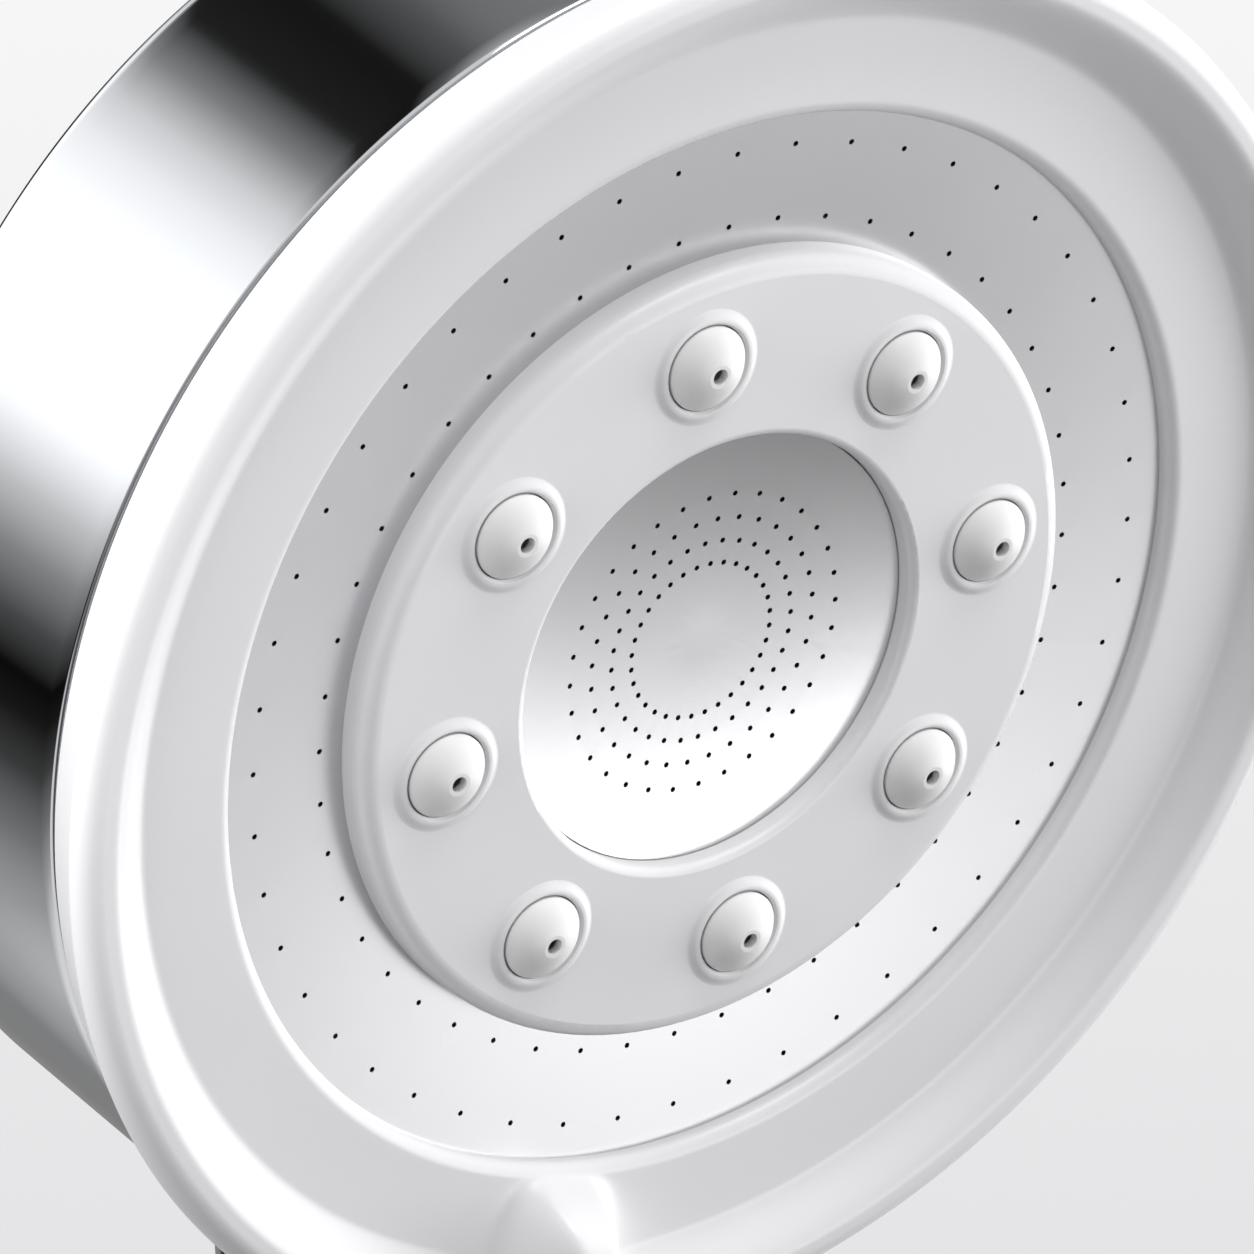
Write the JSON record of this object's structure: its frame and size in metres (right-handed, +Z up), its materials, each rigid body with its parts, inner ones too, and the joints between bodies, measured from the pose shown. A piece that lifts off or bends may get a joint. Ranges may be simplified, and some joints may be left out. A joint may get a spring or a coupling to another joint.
{
  "type": "filtered shower head",
  "caption": "Hand-held shower head: chrome filter drum on a handle, perforated steel spray face with domed nozzles, and a white lever ring that turns the face.",
  "frame": {"origin": "centre of the inlet thread's lower end, on the handle's axis", "axes": "+Z up along the handle; the spray face looks towards -Y, pitched 24.5 degrees down; +X to the right of someone who looks at the face"},
  "size_m": [0.1048, 0.0718, 0.2536],
  "materials": {
    "chrome_plate": "polished plating",
    "white_plastic": "satin gloss",
    "satin_steel": "satin",
    "silicone": "soft satin",
    "inner_plastic": "matt",
    "seal_rubber": "matt",
    "spring_steel": "bright",
    "filter_felt": "felt"
  },
  "bodies": {
    "housing": {"body_shell": "chrome_plate", "water_tube": "inner_plastic", "inlet_nipple": "chrome_plate", "nipple_seal": "seal_rubber", "flow_restrictor": "inner_plastic", "restrictor_seal": "seal_rubber", "bulkhead": "inner_plastic", "bulkhead_seal": "seal_rubber", "bulkhead_screws": "spring_steel", "pivot_screw": "spring_steel", "pivot_washer": "spring_steel", "pivot_seal": "seal_rubber", "port_seal": "seal_rubber", "seal_spring": "spring_steel", "click_spring": "spring_steel", "cartridge_cup": "inner_plastic", "cartridge_lid": "inner_plastic", "front_screen": "filter_felt", "rear_screen": "filter_felt", "filter_media": "filter_felt", "cartridge_gasket": "seal_rubber"},
    "spray_face": {"selector_ring": "white_plastic", "spray_plate": "satin_steel", "nozzle_ring": "white_plastic", "nozzle_mat": "silicone", "channel_plate": "inner_plastic", "port_plate": "inner_plastic"},
    "rotor": {"turbine": "inner_plastic"},
    "back_cap": {"rear_cap": "chrome_plate", "cap_seal": "seal_rubber"}
  },
  "joints": [
    {"name": "selector_turn", "type": "hinge", "parent": "housing", "child": "spray_face", "pos_m": [0, -0.03619, 0.196], "axis": [0, -0.91, -0.4147], "range_deg": [-60, 60], "deforming": ["click_spring"]},
    {"name": "turbine_spin", "type": "hinge", "parent": "spray_face", "child": "rotor", "pos_m": [0, -0.03619, 0.196], "axis": [0, -0.91, -0.4147], "continuous": true},
    {"name": "rear_cap_off", "type": "slide", "parent": "housing", "child": "back_cap", "axis": [0, 0.91, 0.4147], "range_m": [0, 0.04]}
  ]
}
